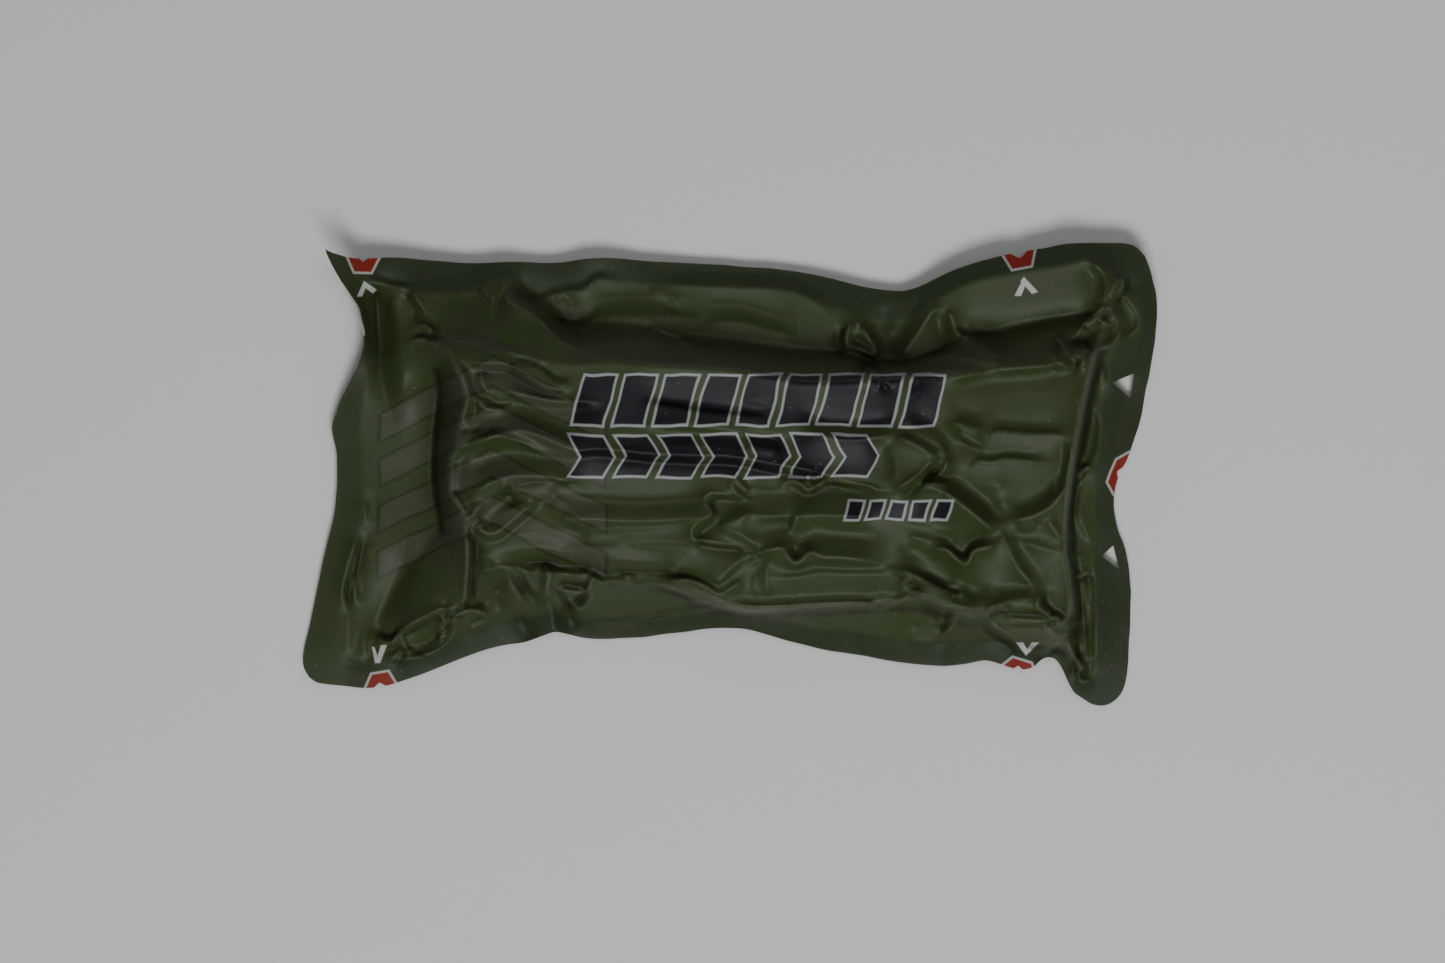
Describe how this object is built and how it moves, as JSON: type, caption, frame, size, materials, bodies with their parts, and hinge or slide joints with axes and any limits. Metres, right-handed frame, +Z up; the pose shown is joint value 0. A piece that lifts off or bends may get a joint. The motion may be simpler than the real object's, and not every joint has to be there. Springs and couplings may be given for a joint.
{
  "type": "emergency trauma bandage in its vacuum packed field pouch",
  "caption": "Folded emergency trauma bandage, vacuum packed in a dark olive film pouch with a wavy welded border, V tear notches and triangular hang holes.",
  "frame": {"origin": "middle of the footprint, on the surface that the pack lies on", "axes": "+X along the pack's length towards the end with the hang holes, +Y across it, +Z up out of the printed front film"},
  "size_m": [0.2662, 0.1444, 0.0371],
  "materials": {
    "film_front": "satin",
    "film_back": "satin",
    "bandage": "matte"
  },
  "bodies": {
    "root": {"pouch_front": "film_front", "pouch_back": "film_back", "folded_bandage": "bandage"}
  },
  "joints": []
}
